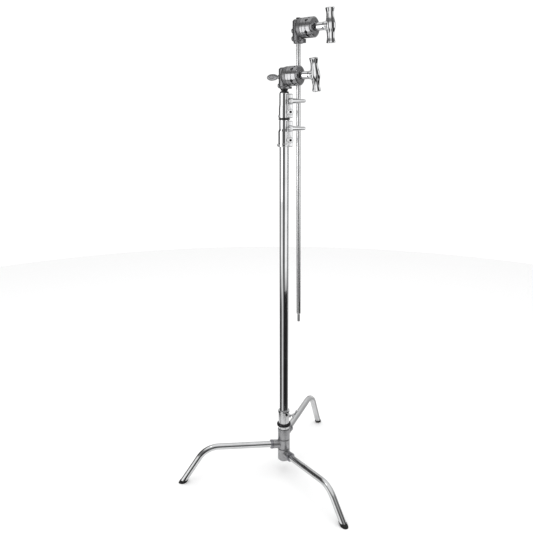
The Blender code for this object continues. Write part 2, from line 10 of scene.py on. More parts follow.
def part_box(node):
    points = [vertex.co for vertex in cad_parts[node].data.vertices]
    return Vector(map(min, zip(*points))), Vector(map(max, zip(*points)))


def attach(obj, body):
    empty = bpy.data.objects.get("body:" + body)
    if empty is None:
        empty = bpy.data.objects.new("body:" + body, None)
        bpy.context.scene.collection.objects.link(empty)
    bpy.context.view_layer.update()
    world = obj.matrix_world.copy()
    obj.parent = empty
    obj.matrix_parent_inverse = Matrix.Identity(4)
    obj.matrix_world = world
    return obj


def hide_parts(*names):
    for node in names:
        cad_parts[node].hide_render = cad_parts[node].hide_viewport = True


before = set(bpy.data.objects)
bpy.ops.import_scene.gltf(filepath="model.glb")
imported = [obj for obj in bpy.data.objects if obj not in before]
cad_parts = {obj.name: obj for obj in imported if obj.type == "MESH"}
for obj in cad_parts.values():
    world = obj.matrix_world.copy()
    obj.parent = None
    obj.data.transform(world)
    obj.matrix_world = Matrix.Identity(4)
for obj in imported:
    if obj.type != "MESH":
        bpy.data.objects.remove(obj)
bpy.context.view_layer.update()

MM = 0.001
GAP = 0.3 * MM

LEG_R = 12.5 * MM
LEG_ELBOW_REACH = 330 * MM
LEG_FOOT_REACH = 432.6 * MM
LEG_BEND_R = 90 * MM
LEG_START = 25 * MM
FOOT_HEIGHT = 12 * MM
FOOT_R = 13.9 * MM
HUB_R = 25 * MM
BOSS_R = 18 * MM
BOSS_END = 48 * MM
SOCKET_RING_R = 18.9 * MM
SOCKET_RING_END = 58 * MM

# Body, name, direction of the leg from the front and its upward slope in degrees, height in
# millimetres of its line on the column's axis, and of the bottom and the top of its hub.
LEGS = (
    ("base", "bottom", 30.8, 6.4, 72.4, 42, 95.6),
    ("middle_leg", "middle", -74.6, 5.5, 113.9, 96, 139.6),
    ("sliding_leg", "sliding", 157.0, 6.4, 155.3, 140, 188),
)
HUB_BORE_R = 17.8 * MM
# The hubs stop a little short of one another, so that the joints between them show.
HUB_TOP_GAP = 1.2 * MM
HUB_BOTTOM_GAP = 1 * MM

SLEEVE_BOTTOM = 188.4 * MM
SLEEVE_TOP = 272 * MM
SLEEVE_R = 22 * MM
SLEEVE_LIP_R = 23.6 * MM
FLANGE_BOTTOM = 201 * MM
FLANGE_TOP = 213 * MM
SLIDER_SCREW_AZIMUTH = math.radians(118)
SLIDER_SCREW_HEIGHT = 237 * MM
SLIDER_WING_TILT = math.radians(-53)
SLIDER_WING_HALF = 32 * MM
# Direction from the front in degrees, height and radius in millimetres.
SLIDER_GRUBS = ((-57, 267, 4.4), (29, 257, 4.6))

COLUMN_TOP = 1402 * MM
RISER_2_TOP = 1498 * MM
RISER_3_TOP = 1541 * MM
# Name, outer radius, inner radius, bottom, top and body of each section of the column.
SECTIONS = (
    ("column", 17.5 * MM, 15.7 * MM, 46 * MM, COLUMN_TOP, "base"),
    ("riser_2", 15 * MM, 13.2 * MM, 120 * MM, RISER_2_TOP, "riser_2"),
    ("riser_3", 12.5 * MM, 10.9 * MM, 150 * MM, RISER_3_TOP, "riser_3"),
)
LOWER_COLLAR = (1348.5 * MM, 1446 * MM)
UPPER_COLLAR = (1452 * MM, 1541 * MM)
LOWER_LEVER_HEIGHT = 1415.5 * MM
UPPER_LEVER_HEIGHT = 1512 * MM
LOWER_BOLT_HEIGHT = 1373 * MM
UPPER_BOLT_HEIGHT = 1473.5 * MM
SPOOL_TOP = 1554.6 * MM
PIN_R = 7.9 * MM
PIN_BOTTOM = 1470 * MM
PIN_TOP = 1622 * MM
LOCK_TURN = math.radians(13)
LOCK_PIVOT = (19.5 * MM, -12 * MM, 0)
HEAD_TURN = math.radians(-33)
LOWER_HEAD_HEIGHT = 1599 * MM
HEAD_SPACING = 159.5 * MM
RECEIVER_TOP = 30 * MM
LOWER_RECEIVER_BOTTOM = -44 * MM
UPPER_RECEIVER_BOTTOM = -49.5 * MM
RECEIVER_BORE_R = 8.3 * MM
JAW_MATE = 48 * MM
JAW_START = 24 * MM
JAW_END = 70 * MM
JAW_R = 34.5 * MM
BOLT_R = 5.5 * MM
ARM_OFFSET = 18.8 * MM
ARM_LEAN = math.radians(0.9)
ARM_R = 8 * MM
ARM_INNER_R = 6.4 * MM
ARM_BOTTOM = -902 * MM
ARM_TOP = 188.5 * MM
ARM_CAP_TOP = 195.5 * MM
STUD_BOTTOM = -938 * MM
LOWER_HEAD_SCREWS = (-1.5 * MM, -32 * MM)
UPPER_HEAD_SCREWS = (-6 * MM, -32 * MM)
HANDLE_START = 73.2 * MM
HANDLE_CENTRE = 128.5 * MM
HANDLE_HALF = 57 * MM
FLUTE_DEPTH = 0.34
LOWER_HANDLE_TURN = math.radians(13)
UPPER_HANDLE_TURN = math.radians(5)
# Way along which each groove runs, its offset from the jaw's middle and its half width.
GROOVES = (
    ("Z", ARM_OFFSET, 11.5 * MM),
    ("Z", -17 * MM, 9.2 * MM),
    ("Y", 21.5 * MM, 7 * MM),
    ("Y", -18 * MM, 7 * MM),
)

low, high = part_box("column_tube")
AXIS = Matrix.Translation(((low.x + high.x) / 2, (low.y + high.y) / 2, 0))
ALONG_X = Matrix.Rotation(math.pi / 2, 4, "Y")
ALONG_MINUS_X = Matrix.Rotation(-math.pi / 2, 4, "Y")


# Materials


def shader_of(name, colour, metallic, roughness):
    made = bpy.data.materials.new(name)
    made.use_nodes = True
    made.diffuse_color = (*colour, 1)
    shader = made.node_tree.nodes["Principled BSDF"]
    shader.inputs["Base Color"].default_value = (*colour, 1)
    shader.inputs["Metallic"].default_value = metallic
    shader.inputs["Roughness"].default_value = roughness
    return made, shader


class Nodes:
    """Short ways to add and join the nodes of one material."""

    def __init__(self, made):
        self.tree = made.node_tree
        self.coordinate = self.tree.nodes.new("ShaderNodeTexCoord").outputs["Object"]

    def link(self, output, socket):
        self.tree.links.new(output, socket)

    def stretched(self, scale):
        node = self.tree.nodes.new("ShaderNodeMapping")
        node.inputs["Scale"].default_value = scale
        self.link(self.coordinate, node.inputs["Vector"])
        return node.outputs["Vector"]

    def noise(self, scale, detail=3.0, vector=None, rough=0.55):
        node = self.tree.nodes.new("ShaderNodeTexNoise")
        node.inputs["Scale"].default_value = scale
        node.inputs["Detail"].default_value = detail
        node.inputs["Roughness"].default_value = rough
        self.link(vector or self.coordinate, node.inputs["Vector"])
        return node.outputs["Fac"]

    def remap(self, value, low_in, high_in, low_out, high_out):
        node = self.tree.nodes.new("ShaderNodeMapRange")
        node.inputs["From Min"].default_value = low_in
        node.inputs["From Max"].default_value = high_in
        node.inputs["To Min"].default_value = low_out
        node.inputs["To Max"].default_value = high_out
        self.link(value, node.inputs["Value"])
        return node.outputs["Result"]

    def blend(self, value, first, second):
        node = self.tree.nodes.new("ShaderNodeMix")
        node.data_type = "RGBA"
        node.inputs["A"].default_value = (*first, 1)
        node.inputs["B"].default_value = (*second, 1)
        self.link(value, node.inputs["Factor"])
        return node.outputs["Result"]

    def maths(self, operation, first, second):
        node = self.tree.nodes.new("ShaderNodeMath")
        node.operation = operation
        for socket, value in zip(node.inputs, (first, second)):
            if isinstance(value, (int, float)):
                socket.default_value = value
            else:
                self.link(value, socket)
        return node.outputs["Value"]

    def bump(self, height, strength, distance, normal=None):
        node = self.tree.nodes.new("ShaderNodeBump")
        node.inputs["Strength"].default_value = strength
        node.inputs["Distance"].default_value = distance
        self.link(height, node.inputs["Height"])
        if normal is not None:
            self.link(normal, node.inputs["Normal"])
        return node.outputs["Normal"]

    def soft_edges(self, radius):
        node = self.tree.nodes.new("ShaderNodeBevel")
        node.samples = 4
        node.inputs["Radius"].default_value = radius
        return node.outputs["Normal"]


def chrome(name, grain=(1400, 1400, 26), satin=0.0):
    """Chrome plate with faint wipe marks and thumb smudges; satin dulls it."""
    made, shader = shader_of(name, (0.86, 0.865, 0.875), 1.0, 0.07 + satin)
    nodes = Nodes(made)
    smudge = nodes.noise(26, 4)
    marks = nodes.noise(1, 5, nodes.stretched(grain), 0.7)
    rough = nodes.remap(smudge, 0.42, 0.74, 0.045 + satin, 0.12 + satin)
    rough = nodes.maths("ADD", rough, nodes.remap(marks, 0.6, 0.85, 0.0, 0.06))
    nodes.link(rough, shader.inputs["Roughness"])
    smudged = nodes.remap(smudge, 0.4, 0.75, 0, 1)
    tint = nodes.blend(smudged, (0.88, 0.885, 0.895), (0.78, 0.785, 0.79))
    nodes.link(tint, shader.inputs["Base Color"])
    ripple = nodes.noise(14, 2)
    normal = nodes.bump(ripple, 0.12, 0.0003)
    nodes.link(nodes.bump(marks, 0.06, 0.00002, normal), shader.inputs["Normal"])
    return made


def casting(name, shade, dull):
    """Zinc casting: fine grain, cloudy tone, soft edges. dull is its usual roughness."""
    made, shader = shader_of(name, (shade, shade, shade * 1.02), 0.9, dull)
    nodes = Nodes(made)
    grain = nodes.noise(1500, 3)
    pits = nodes.noise(520, 4, rough=0.6)
    cloud = nodes.noise(38, 4)
    light = shade * 1.08
    dark = shade * 0.9
    tone = nodes.remap(cloud, 0.35, 0.68, 0, 1)
    colour = nodes.blend(tone, (dark, dark, dark * 1.03), (light, light, light * 1.02))
    nodes.link(colour, shader.inputs["Base Color"])
    rough = nodes.remap(cloud, 0.3, 0.7, dull * 0.85, dull * 1.2)
    rough = nodes.maths("ADD", rough, nodes.remap(grain, 0.3, 0.7, -0.03, 0.05))
    nodes.link(rough, shader.inputs["Roughness"])
    normal = nodes.bump(pits, 0.2, 0.00008, nodes.soft_edges(0.0007))
    nodes.link(nodes.bump(grain, 0.2, 0.00003, normal), shader.inputs["Normal"])
    return made


def dark_steel(name, shade=0.05, dull=0.36):
    """Blackened steel with worn, lighter patches."""
    made, shader = shader_of(name, (shade, shade, shade * 1.08), 0.85, dull)
    nodes = Nodes(made)
    wear = nodes.noise(120, 5, rough=0.65)
    grain = nodes.noise(1300, 2)
    worn = shade + 0.12
    tone = nodes.remap(wear, 0.5, 0.72, 0, 1)
    colour = nodes.blend(tone, (shade, shade, shade * 1.08), (worn, worn, worn * 1.05))
    nodes.link(colour, shader.inputs["Base Color"])
    nodes.link(nodes.remap(wear, 0.3, 0.7, dull * 1.2, dull * 0.8), shader.inputs["Roughness"])
    nodes.link(nodes.bump(grain, 0.2, 0.00003, nodes.soft_edges(0.0005)), shader.inputs["Normal"])
    return made


def black_plastic(name):
    """Moulded black nylon with a fine spark-eroded texture."""
    made, shader = shader_of(name, (0.012, 0.012, 0.013), 0.0, 0.42)
    nodes = Nodes(made)
    texture = nodes.noise(1700, 3)
    dust = nodes.noise(90, 4)
    dusty = nodes.remap(dust, 0.5, 0.8, 0, 1)
    colour = nodes.blend(dusty, (0.011, 0.011, 0.012), (0.03, 0.03, 0.031))
    nodes.link(colour, shader.inputs["Base Color"])
    nodes.link(nodes.remap(dust, 0.3, 0.7, 0.34, 0.5), shader.inputs["Roughness"])
    nodes.link(nodes.bump(texture, 0.4, 0.00005), shader.inputs["Normal"])
    return made


def rubber(name):
    """Black rubber, dull, with patches of floor dust."""
    made, shader = shader_of(name, (0.014, 0.014, 0.014), 0.0, 0.7)
    shader.inputs["Specular IOR Level"].default_value = 0.35
    nodes = Nodes(made)
    texture = nodes.noise(900, 4)
    dust = nodes.noise(160, 5, rough=0.7)
    dusty = nodes.remap(dust, 0.52, 0.8, 0, 1)
    colour = nodes.blend(dusty, (0.012, 0.012, 0.012), (0.06, 0.058, 0.055))
    nodes.link(colour, shader.inputs["Base Color"])
    nodes.link(nodes.remap(dust, 0.3, 0.8, 0.6, 0.85), shader.inputs["Roughness"])
    nodes.link(nodes.bump(texture, 0.4, 0.0001), shader.inputs["Normal"])
    return made


FINISH = {
    "chrome": chrome("polished_chrome"),
    "leg_chrome": chrome("leg_chrome", (420, 420, 420)),
    "satin": chrome("satin_chrome", satin=0.2),
    "hub": casting("hub_casting", 0.48, 0.28),
    "sleeve": chrome("sleeve_chrome", satin=0.11),
    "receiver": casting("receiver_casting", 0.22, 0.36),
    "jaw": casting("jaw_casting", 0.36, 0.11),
    "dark": dark_steel("blackened_steel"),
    "socket": dark_steel("socket_ring_steel", 0.3, 0.3),
    "gloss": dark_steel("slider_ring_enamel", 0.03, 0.14),
    "plastic": black_plastic("black_nylon"),
    "rubber": rubber("black_rubber"),
}


# Shapes


def mesh_object(name, bm, matrix):
    mesh = bpy.data.meshes.new(name)
    bmesh.ops.recalc_face_normals(bm, faces=bm.faces)
    if bm.calc_volume(signed=True) < 0:
        bmesh.ops.reverse_faces(bm, faces=bm.faces)
    bm.to_mesh(mesh)
    bm.free()
    mesh.shade_smooth()
    mesh.set_sharp_from_angle(angle=math.radians(32))
    obj = bpy.data.objects.new(name, mesh)
    bpy.context.scene.collection.objects.link(obj)
    obj.matrix_world = matrix
    return obj


def rounded(profile, closed, default=0.5 * MM, steps=4):
    """Profile with its corners rounded off. A point may carry its own radius as a third number."""
    points = [(Vector(p[:2]), p[2] if len(p) > 2 else default) for p in profile]
    made = []
    count = len(points)
    for i, (corner, radius) in enumerate(points):
        at_end = not closed and i in (0, count - 1)
        if at_end or radius <= 0:
            made.append(corner)
            continue
        before = points[i - 1][0] - corner
        after = points[(i + 1) % count][0] - corner
        reach = min(before.length, after.length) * 0.49
        half = before.angle(after) / 2
        if half > math.radians(88):
            made.append(corner)
            continue
        cut_back = min(radius / math.tan(half), reach)
        start = corner + before.normalized() * cut_back
        end = corner + after.normalized() * cut_back
        for k in range(steps + 1):
            t = k / steps
            made.append(start * (1 - t) ** 2 + corner * 2 * t * (1 - t) + end * t**2)
    return made


def lathe(name, profile, matrix, closed=False, steps=96, soft=0.5 * MM):
    """Turn (radius, height) points about Z, corners rounded."""
    points = rounded(profile, closed, soft)
    bm = bmesh.new()
    rows = []
    for point in points:
        if point.x < 1e-7:
            rows.append([bm.verts.new((0, 0, point.y))])
            continue
        row = []
        for i in range(steps):
            angle = 2 * math.pi * i / steps
            x = point.x * math.cos(angle)
            y = point.x * math.sin(angle)
            row.append(bm.verts.new((x, y, point.y)))
        rows.append(row)
    pairs = list(zip(rows, rows[1:]))
    if closed:
        pairs.append((rows[-1], rows[0]))
    for a, b in pairs:
        for i in range(steps):
            j = (i + 1) % steps
            corners = [a[i % len(a)], a[j % len(a)], b[j % len(b)], b[i % len(b)]]
            kept = [v for k, v in enumerate(corners) if v not in corners[:k]]
            if len(kept) > 2:
                bm.faces.new(kept)
    return mesh_object(name, bm, matrix)


def disc(name, radius, low, high, matrix, soft=0.4 * MM, steps=96):
    profile = [(0, high), (radius, high), (radius, low), (0, low)]
    return lathe(name, profile, matrix, steps=steps, soft=soft)


def ring(name, outer, inner, low, high, matrix, soft=0.4 * MM, steps=96):
    profile = [(outer, high), (outer, low), (inner, low), (inner, high)]
    return lathe(name, profile, matrix, True, steps, soft)


def loft(name, rings, matrix):
    bm = bmesh.new()
    rows = [[bm.verts.new(point) for point in level] for level in rings]
    for a, b in zip(rows, rows[1:]):
        for i in range(len(a)):
            j = (i + 1) % len(a)
            bm.faces.new([a[i], a[j], b[j], b[i]])
    bm.faces.new(rows[0][::-1])
    bm.faces.new(rows[-1])
    return mesh_object(name, bm, matrix)


def oval(centre, across, along, half_across, half_along, count=48, power=2.0):
    points = []
    for i in range(count):
        angle = 2 * math.pi * i / count
        c = math.cos(angle)
        s = math.sin(angle)
        x = math.copysign(abs(c) ** (2 / power), c) * half_across
        y = math.copysign(abs(s) ** (2 / power), s) * half_along
        points.append(centre + across * x + along * y)
    return points


def eased(stations, steps):
    """Smooth curve through rows of numbers, with steps rows for each gap."""
    rows = [tuple(row) for row in stations]
    made = []
    for i in range(len(rows) - 1):
        before = rows[max(i - 1, 0)]
        start = rows[i]
        end = rows[i + 1]
        after = rows[min(i + 2, len(rows) - 1)]
        for k in range(steps):
            t = k / steps
            row = []
            for p0, p1, p2, p3 in zip(before, start, end, after):
                bend = (2 * p0 - 5 * p1 + 4 * p2 - p3) * t * t + (3 * p1 - p0 - 3 * p2 + p3) * t**3
                row.append(0.5 * (2 * p1 + (p2 - p0) * t + bend))
            made.append(tuple(row))
    made.append(rows[-1])
    return made


def soft_block(name, low, high, matrix, edge):
    bm = bmesh.new()
    bmesh.ops.create_cube(bm, size=1)
    for vert in bm.verts:
        for i in range(3):
            vert.co[i] = high[i] if vert.co[i] > 0 else low[i]
    bmesh.ops.bevel(bm, geom=bm.edges[:], offset=edge, segments=4, profile=0.5, affect="EDGES")
    return mesh_object(name, bm, matrix)


def settled(obj):
    """The same piece with its placing worked into its mesh."""
    obj.data.transform(obj.matrix_world)
    obj.matrix_world = Matrix()
    return obj


def carve(target, joined=(), removed=()):
    """Join and cut solids into target, bake the result and drop the helpers."""
    helpers = [(helper, "UNION") for helper in joined]
    helpers += [(helper, "DIFFERENCE") for helper in removed]
    for helper, operation in helpers:
        modifier = target.modifiers.new(helper.name, "BOOLEAN")
        modifier.solver = "MANIFOLD"
        modifier.operation = operation
        modifier.object = helper
    bpy.context.view_layer.update()
    evaluated = target.evaluated_get(bpy.context.evaluated_depsgraph_get())
    mesh = bpy.data.meshes.new_from_object(evaluated)
    target.modifiers.clear()
    target.data = mesh
    mesh.shade_smooth()
    mesh.set_sharp_from_angle(angle=math.radians(32))
    for helper, _ in helpers:
        bpy.data.objects.remove(helper)
    return target


def show(obj, finish, body, *nodes, slot=None):
    """Finish a piece, put it on its body and let it stand for its CAD nodes."""
    obj.data.materials.clear()
    obj.data.materials.append(FINISH[finish])
    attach(obj, body)
    if nodes:
        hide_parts(*nodes)
    return obj


def pointing(origin, direction):
    turn = Vector(direction).to_track_quat("Z", "Y").to_matrix().to_4x4()
    return Matrix.Translation(Vector(origin)) @ turn


def level_way(azimuth):
    """Level direction, from its angle to the right of the front."""
    return Vector((math.sin(azimuth), -math.cos(azimuth), 0))


def socket_screw(name, radius, low, high, matrix):
    """Cap screw with a hexagonal socket, its head towards +Z."""
    head = disc(name, radius, low, high, matrix, 0.25 * MM, 48)
    well = disc(name + "_well", radius * 0.55, high - radius * 0.8, high + 1 * MM, matrix, 0, 6)
    return carve(head, removed=[well])


# Base


def leg_path(slope, height):
    up = Vector((math.cos(slope), 0, math.sin(slope)))
    start = Vector((0, 0, height)) + up * (LEG_START / math.cos(slope))
    elbow = Vector((LEG_ELBOW_REACH, 0, height + LEG_ELBOW_REACH * math.tan(slope)))
    foot = Vector((LEG_FOOT_REACH, 0, 0))
    down = (foot - elbow).normalized()
    turn = up.angle(down)
    bend_start = elbow - up * (LEG_BEND_R * math.tan(turn / 2))
    centre = bend_start + Vector((up.z, 0, -up.x)) * LEG_BEND_R
    stations = [(start, up)]
    for i in range(1, 12):
        stations.append((start.lerp(bend_start, i / 12), up))
    for i in range(33):
        spin = Matrix.Rotation(turn * i / 32, 3, "Y")
        stations.append((centre + spin @ (bend_start - centre), spin @ up))
    return stations, foot, down


def build_leg(body, name, azimuth, slope, height, hub_low, hub_high):
    azimuth = math.radians(azimuth)
    slope = math.radians(slope)
    height, hub_low, hub_high = (level * MM for level in (height, hub_low, hub_high))
    outward = AXIS @ Matrix.Rotation(azimuth - math.pi / 2, 4, "Z")
    side = Vector((0, 1, 0))
    ahead = Vector((1, 0, 0))
    stations, foot, down = leg_path(slope, height)
    rings = [oval(point, side, way.cross(side), LEG_R, LEG_R, 64) for point, way in stations]
    end = foot - down * (FOOT_HEIGHT / -down.z)
    rings.append(oval(end, side, ahead, LEG_R, LEG_R / -down.z, 64))
    tube = settled(loft(f"{name}_leg", rings, outward))
    show(tube, "leg_chrome", body, f"{name}_leg_tube")

    # Height up the foot and how far its side is drawn in there, in millimetres.
    rings = []
    for level, inset in (
        (0, 2.2),
        (0.15, 1.3),
        (0.6, 0.6),
        (1.4, 0.15),
        (2.4, 0),
        (8.6, 0),
        (8.8, 0.35),
        (9.2, 0.35),
        (9.4, 0),
        (10.6, 0.1),
        (11.4, 0.5),
        (11.7, 1.1),
    ):
        radius = FOOT_R - inset * MM
        centre = foot - down * (level * MM / -down.z)
        rings.append(oval(centre, side, ahead, radius, radius / -down.z, 64))
    show(settled(loft(f"{name}_foot", rings, outward)), "rubber", body, f"{name}_leg_foot")

    socket = outward @ pointing((0, 0, height), (math.cos(slope), 0, math.sin(slope)))
    under = 5 * MM if name == "bottom" else 1.4 * MM
    hub_high -= HUB_TOP_GAP
    hub_low += 0 if name == "bottom" else HUB_BOTTOM_GAP
    hub = lathe(
        f"{name}_casting",
        [
            (HUB_BORE_R, hub_high, 0),
            (HUB_R - 1.2 * MM, hub_high),
            (HUB_R, hub_high - 1.4 * MM),
            (HUB_R, hub_low + under, under * 0.5),
            (HUB_R - under * 0.8, hub_low, under * 0.4),
            (HUB_BORE_R, hub_low, 0),
        ],
        outward,
        True,
    )
    if name == "bottom":
        plate = disc("bottom_plate", 19 * MM, hub_low, hub_low + 3.6 * MM, outward)
        hub = carve(hub, [plate])
    boss = lathe(
        f"{name}_boss",
        [
            (0, BOSS_END),
            (BOSS_R - 0.8 * MM, BOSS_END),
            (BOSS_R, BOSS_END - 1.5 * MM),
            (BOSS_R, 20 * MM),
            (0, 20 * MM),
        ],
        socket,
    )
    below = (hub_low - 30 * MM, hub_low + 0.02 * MM)
    neighbour = disc(f"{name}_neighbour", HUB_R + GAP, *below, outward, 0)
    boss = carve(boss, removed=[neighbour])
    bore = disc(f"{name}_bore", HUB_BORE_R, hub_low + 4 * MM, hub_high + 5 * MM, outward, 0)
    socket_bore = disc(f"{name}_socket_bore", LEG_R + 0.2 * MM, LEG_START - GAP, 80 * MM, socket, 0)
    pad_frame = socket @ Matrix.Translation((0, 0, 38 * MM)) @ Matrix.Rotation(math.pi / 2, 4, "X")
    pad = disc(f"{name}_pad", 4.6 * MM, 10 * MM, 18.6 * MM, pad_frame, 0.5 * MM, 48)
    show(carve(hub, [boss, pad], [bore, socket_bore]), "hub", body, f"{name}_leg_casting")
    collar = lathe(
        f"{name}_socket_ring",
        [
            (SOCKET_RING_R - 0.2 * MM, SOCKET_RING_END, 1.6 * MM),
            (SOCKET_RING_R - 0.2 * MM, BOSS_END + GAP, 1.2 * MM),
            (LEG_R + 0.2 * MM, BOSS_END + GAP),
            (LEG_R + 0.2 * MM, SOCKET_RING_END),
        ],
        socket,
        True,
    )
    show(collar, "socket", body, f"{name}_leg_socket_ring")


def wing_bar(name, height, half_length, matrix):
    # Share of the half length, and half the bar's width there in millimetres.
    shape = (
        (-1.0, 2.2),
        (-0.985, 4.2),
        (-0.93, 5.7),
        (-0.8, 6.4),
        (-0.3, 5.0),
        (0.0, 7.0),
        (0.3, 5.0),
        (0.8, 6.4),
        (0.93, 5.7),
        (0.985, 4.2),
        (1.0, 2.2),
    )
    rings = []
    for place, half in eased(shape, 5):
        centre = Vector((place * half_length, 0, height))
        width = half * MM
        rings.append(oval(centre, Vector((0, 1, 0)), Vector((0, 0, 1)), width, width * 0.85, 40))
    return loft(name, rings, matrix)


def build_base():
    for leg in LEGS:
        build_leg(*leg)
    downwards = AXIS @ Matrix.Rotation(math.pi, 4, "X")
    screw = socket_screw("under_screw", 9 * MM, -41.7 * MM, -35 * MM, downwards)
    show(screw, "dark", "base", "base_screw")

    sleeve = lathe(
        "slider_body",
        [
            (SLEEVE_LIP_R - 1 * MM, SLEEVE_TOP),
            (SLEEVE_LIP_R, SLEEVE_TOP - 1.4 * MM, 0.8 * MM),
            (SLEEVE_LIP_R, SLEEVE_TOP - 8 * MM, 0.8 * MM),
            (SLEEVE_R, SLEEVE_TOP - 9.5 * MM, 0.8 * MM),
            (SLEEVE_R, SLEEVE_BOTTOM + 1 * MM),
            (SLEEVE_R - 0.8 * MM, SLEEVE_BOTTOM),
            (HUB_BORE_R, SLEEVE_BOTTOM),
            (HUB_BORE_R, SLEEVE_TOP),
        ],
        AXIS,
        True,
    )
    screw_frame = AXIS @ pointing((0, 0, SLIDER_SCREW_HEIGHT), level_way(SLIDER_SCREW_AZIMUTH))
    boss = lathe(
        "slider_screw_boss",
        [(0, 31 * MM), (7 * MM, 31 * MM), (8 * MM, 29.6 * MM), (8 * MM, 19 * MM), (0, 19 * MM)],
        screw_frame,
    )
    hole = disc("slider_screw_hole", 4.3 * MM, 10 * MM, 40 * MM, screw_frame, 0, 48)
    show(carve(sleeve, [boss], [hole]), "sleeve", "slider", "slider_sleeve")
    for i, (turn, height, radius) in enumerate(SLIDER_GRUBS):
        place = AXIS @ pointing((0, 0, height * MM), level_way(math.radians(turn)))
        grub = socket_screw(f"slider_grub_{i}", radius * MM, 20 * MM, 25 * MM, place)
        show(grub, "gloss", "slider", slot="slider_flange")
    flange = lathe(
        "slider_ring",
        [
            (25.6 * MM, FLANGE_TOP, 2 * MM),
            (29 * MM, FLANGE_TOP - 2.4 * MM, 3.4 * MM),
            (29 * MM, FLANGE_BOTTOM + 2.4 * MM, 3.4 * MM),
            (25 * MM, FLANGE_BOTTOM, 2 * MM),
            (SLEEVE_R + 0.2 * MM, FLANGE_BOTTOM),
            (SLEEVE_R + 0.2 * MM, FLANGE_TOP),
        ],
        AXIS,
        True,
    )
    show(flange, "gloss", "slider", "slider_flange")
    shank = lathe(
        "slider_wing",
        [
            (0, 52 * MM),
            (6.5 * MM, 52 * MM),
            (6 * MM, 46 * MM, 2 * MM),
            (4 * MM, 38 * MM, 3 * MM),
            (4 * MM, 18.5 * MM),
            (0, 18.5 * MM),
        ],
        screw_frame,
        steps=64,
    )
    tilt = Matrix.Rotation(SLIDER_WING_TILT, 4, "Z")
    bar = wing_bar("slider_wing_bar", 54 * MM, SLIDER_WING_HALF, screw_frame @ tilt)
    show(carve(shank, [bar]), "chrome", "slider_wing", "slider_wing_screw")


# Column


def build_lock(name, collar, bodies, span, bore, lever_height, bolt_height):
    """Clamp lugs and lever of a collar. bore is where its hole steps in, and its two radii."""
    body, lever_body = bodies
    low, high = span
    lock = AXIS @ Matrix.Translation(LOCK_PIVOT) @ Matrix.Rotation(LOCK_TURN, 4, "Z")
    ear = soft_block(
        f"{name}_ear",
        (-10.5 * MM, -10 * MM, low + 0.6 * MM),
        (9.5 * MM, 7 * MM, lever_height - 7 * MM),
        lock,
        2.6 * MM,
    )
    lobe = soft_block(
        f"{name}_lobe",
        (-10.5 * MM, -10 * MM, lever_height + 7 * MM),
        (9.5 * MM, 7 * MM, high - 3.5 * MM),
        lock,
        2.6 * MM,
    )
    web = soft_block(
        f"{name}_web",
        (-10.5 * MM, -8.4 * MM, low + 8 * MM),
        (8.1 * MM, 6 * MM, high - 9 * MM),
        lock,
        1.2 * MM,
    )
    bolt_frame = lock @ pointing((0.5 * MM, 0, bolt_height), (0, -1, 0))
    boss = lathe(
        f"{name}_boss",
        [
            (0, 14 * MM),
            (9.6 * MM, 14 * MM, 1 * MM),
            (11 * MM, 12.4 * MM, 1 * MM),
            (11 * MM, -2 * MM),
            (0, -2 * MM),
        ],
        bolt_frame,
    )
    recess = disc(f"{name}_recess", 4.8 * MM, 11 * MM, 28 * MM, bolt_frame, 0, 48)
    lever_frame = lock @ pointing((0, 0, lever_height), (0, -1, 0))
    hole = disc(f"{name}_hole", 5.3 * MM, 5 * MM, 28 * MM, lever_frame, 0, 48)
    step, lower_r, upper_r = bore
    hollow = lathe(
        f"{name}_hollow",
        [
            (0, high + 5 * MM),
            (upper_r, high + 5 * MM),
            (upper_r, step),
            (lower_r, step),
            (lower_r, low - 5 * MM),
            (0, low - 5 * MM),
        ],
        AXIS,
        soft=0,
    )
    collar = carve(collar, [web, ear, lobe, boss], [hollow, recess, hole])
    show(collar, "chrome", body, f"{name}_collar")
    bolt = socket_screw(f"{name}_bolt", 4.4 * MM, 11.3 * MM, 14.9 * MM, bolt_frame)
    show(bolt, "dark", body, f"{name}_clamp_bolt")

    # Distance along the lever, and half its height there.
    outline = (
        (-9, 2.4),
        (-8.7, 4.4),
        (-7.6, 6.8),
        (-5, 8.8),
        (0, 9.6),
        (7, 9.2),
        (18, 8.1),
        (34, 6.9),
        (47, 6.3),
        (51.4, 5.4),
        (53, 4),
        (53.5, 2),
    )
    rings = []
    for place, half in eased(outline, 4):
        centre = Vector((place * MM, -23 * MM, lever_height))
        depth = (2.2 + half * 0.4) * MM
        rings.append(oval(centre, Vector((0, 0, 1)), Vector((0, -1, 0)), half * MM, depth, 48, 2.5))
    lever = loft(f"{name}_lever", rings, lock)
    shaft = disc(f"{name}_shaft", 5 * MM, 5.4 * MM, 23 * MM, lever_frame, 0.3 * MM, 64)
    cap = lathe(
        f"{name}_lever_cap",
        [
            (0, 29 * MM),
            (6.6 * MM, 29 * MM, 1 * MM),
            (7.4 * MM, 27.6 * MM, 1 * MM),
            (7.4 * MM, 23 * MM),
            (0, 23 * MM),
        ],
        lever_frame,
        steps=64,
    )
    show(carve(lever, [shaft, cap]), "chrome", lever_body, f"{name}_lock_lever")
    nut = disc(f"{name}_nut", 8.5 * MM, 10.3 * MM, 14.5 * MM, lever_frame, 0.5 * MM, 6)
    nut_hole = disc(f"{name}_nut_hole", 5.2 * MM, 8 * MM, 18 * MM, lever_frame, 0, 48)
    show(carve(nut, removed=[nut_hole]), "dark", lever_body, f"{name}_lock_nut")


